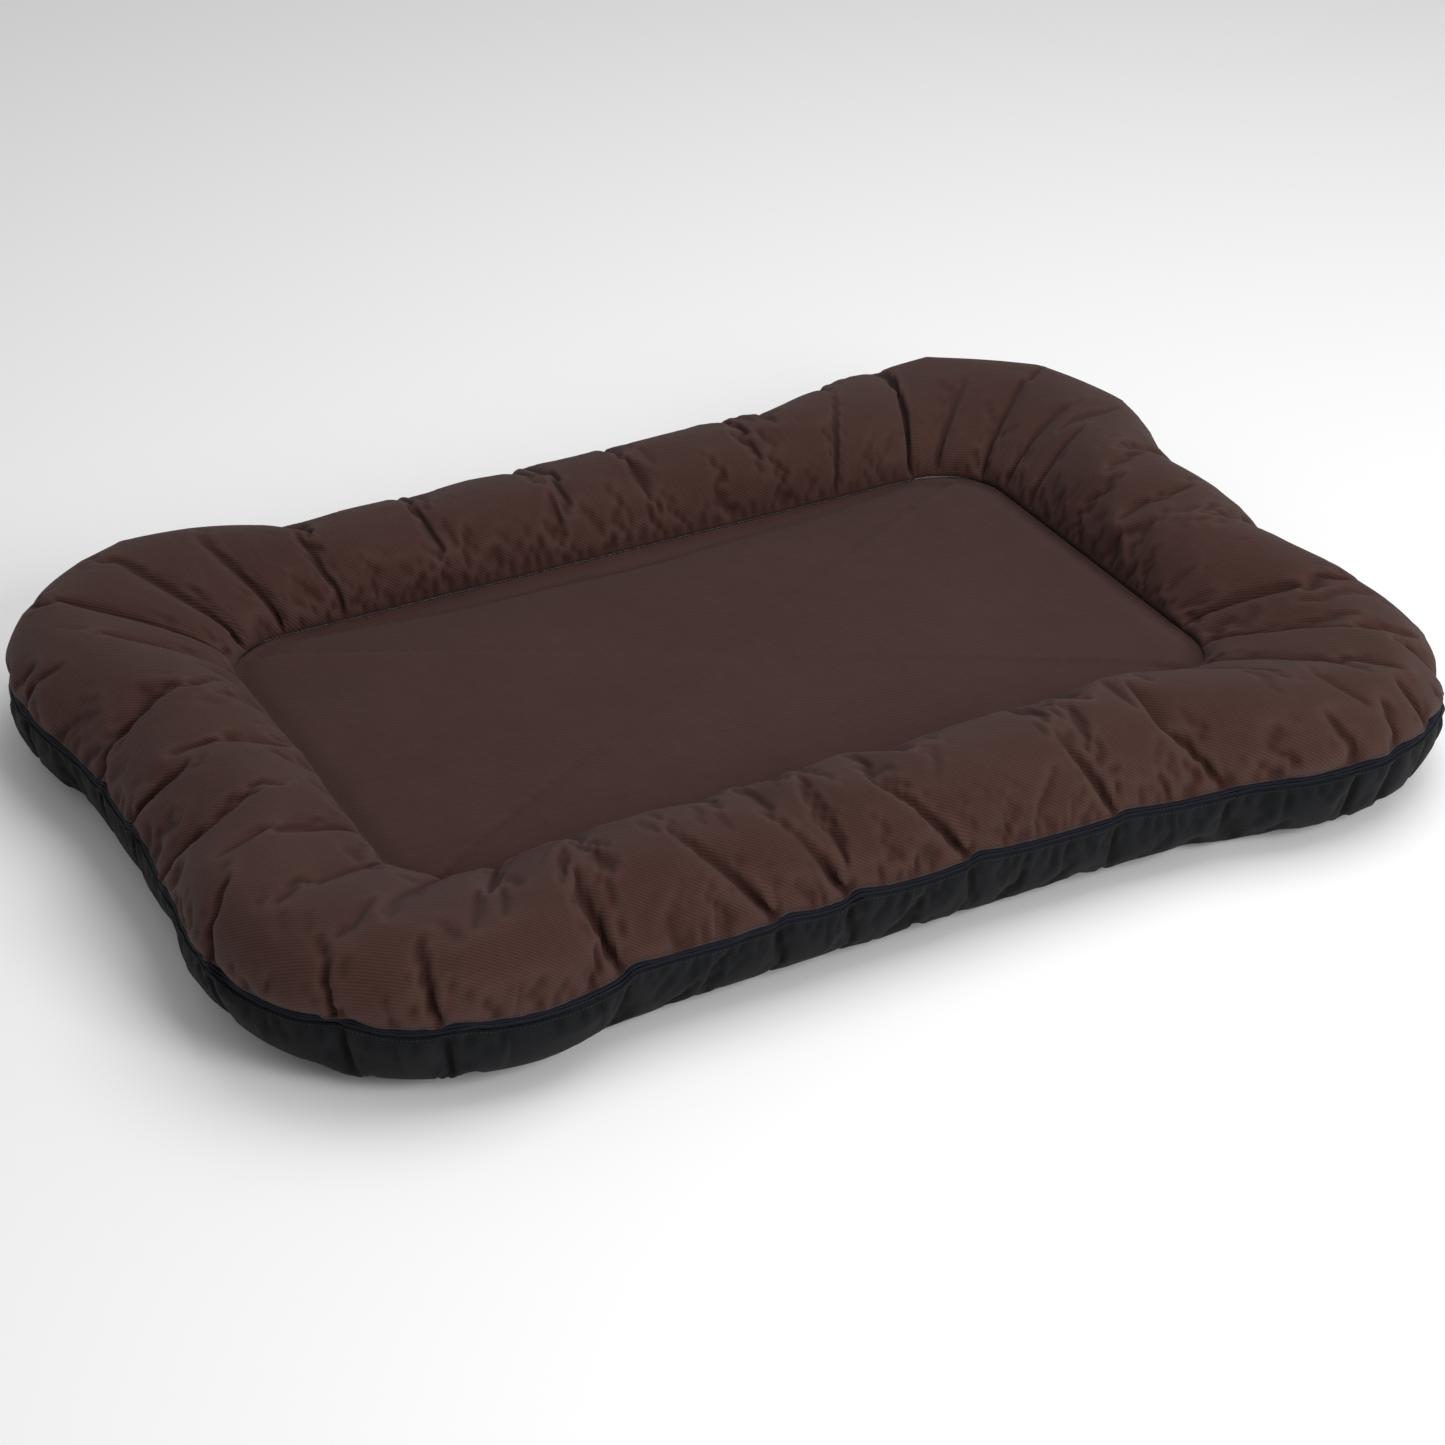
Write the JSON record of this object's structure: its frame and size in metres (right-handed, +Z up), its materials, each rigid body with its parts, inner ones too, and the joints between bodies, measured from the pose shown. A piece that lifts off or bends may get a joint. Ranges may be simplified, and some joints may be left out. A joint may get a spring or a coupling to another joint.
{
  "type": "pet cushion bed",
  "caption": "Rectangular pet cushion bed with a thick filled rim round a lower lying panel, zipped cover with brown top and black underside.",
  "frame": {"origin": "on the floor under the middle of the cushion", "axes": "+X along the long side, +Y towards the long side that holds the zip slider, +Z up"},
  "size_m": [1.2008, 0.8448, 0.141],
  "materials": {
    "brown_cloth": "matt oxford weave with a light sheen",
    "black_cloth": "matt oxford weave",
    "brown_thread": "polyester thread",
    "black_thread": "polyester thread",
    "zip_tape": "woven zip tape",
    "zip_coil": "nylon monofilament coil",
    "slider_metal": "black lacquered zinc",
    "stop_metal": "pressed bright",
    "white_liner": "non-woven",
    "fibre_fill": "loose polyester fibre",
    "label_cloth": "blank woven ribbon"
  },
  "bodies": {
    "bed": {"rim_cover": "brown_cloth", "lying_panel": "brown_cloth", "base_cover": "black_cloth", "inner_seam_thread": "brown_thread", "zip_tape_upper": "zip_tape", "zip_tape_lower": "zip_tape", "zip_coil_upper": "zip_coil", "zip_coil_lower": "zip_coil", "zip_thread_upper": "black_thread", "zip_thread_lower": "black_thread", "zip_top_stops": "stop_metal", "zip_bottom_stop": "stop_metal", "zip_end_tab": "black_cloth", "end_tab_thread": "black_thread", "insert_liner_upper": "white_liner", "insert_liner_lower": "white_liner", "chamber_divider": "white_liner", "rim_filling": "fibre_fill", "centre_filling": "fibre_fill", "care_label": "label_cloth"},
    "slider": {"zip_slider": "slider_metal"},
    "pull_tab": {"zip_pull_tab": "slider_metal"}
  },
  "joints": [
    {"name": "zip_slide", "type": "slide", "parent": "bed", "child": "slider", "axis": [-1, 0, 0], "range_m": [0, 0.41]},
    {"name": "pull_tab_hinge", "type": "hinge", "parent": "slider", "child": "pull_tab", "pos_m": [0.185, 0.40335, 0.062], "axis": [0, 0, -1], "range_deg": [0, 168]}
  ]
}
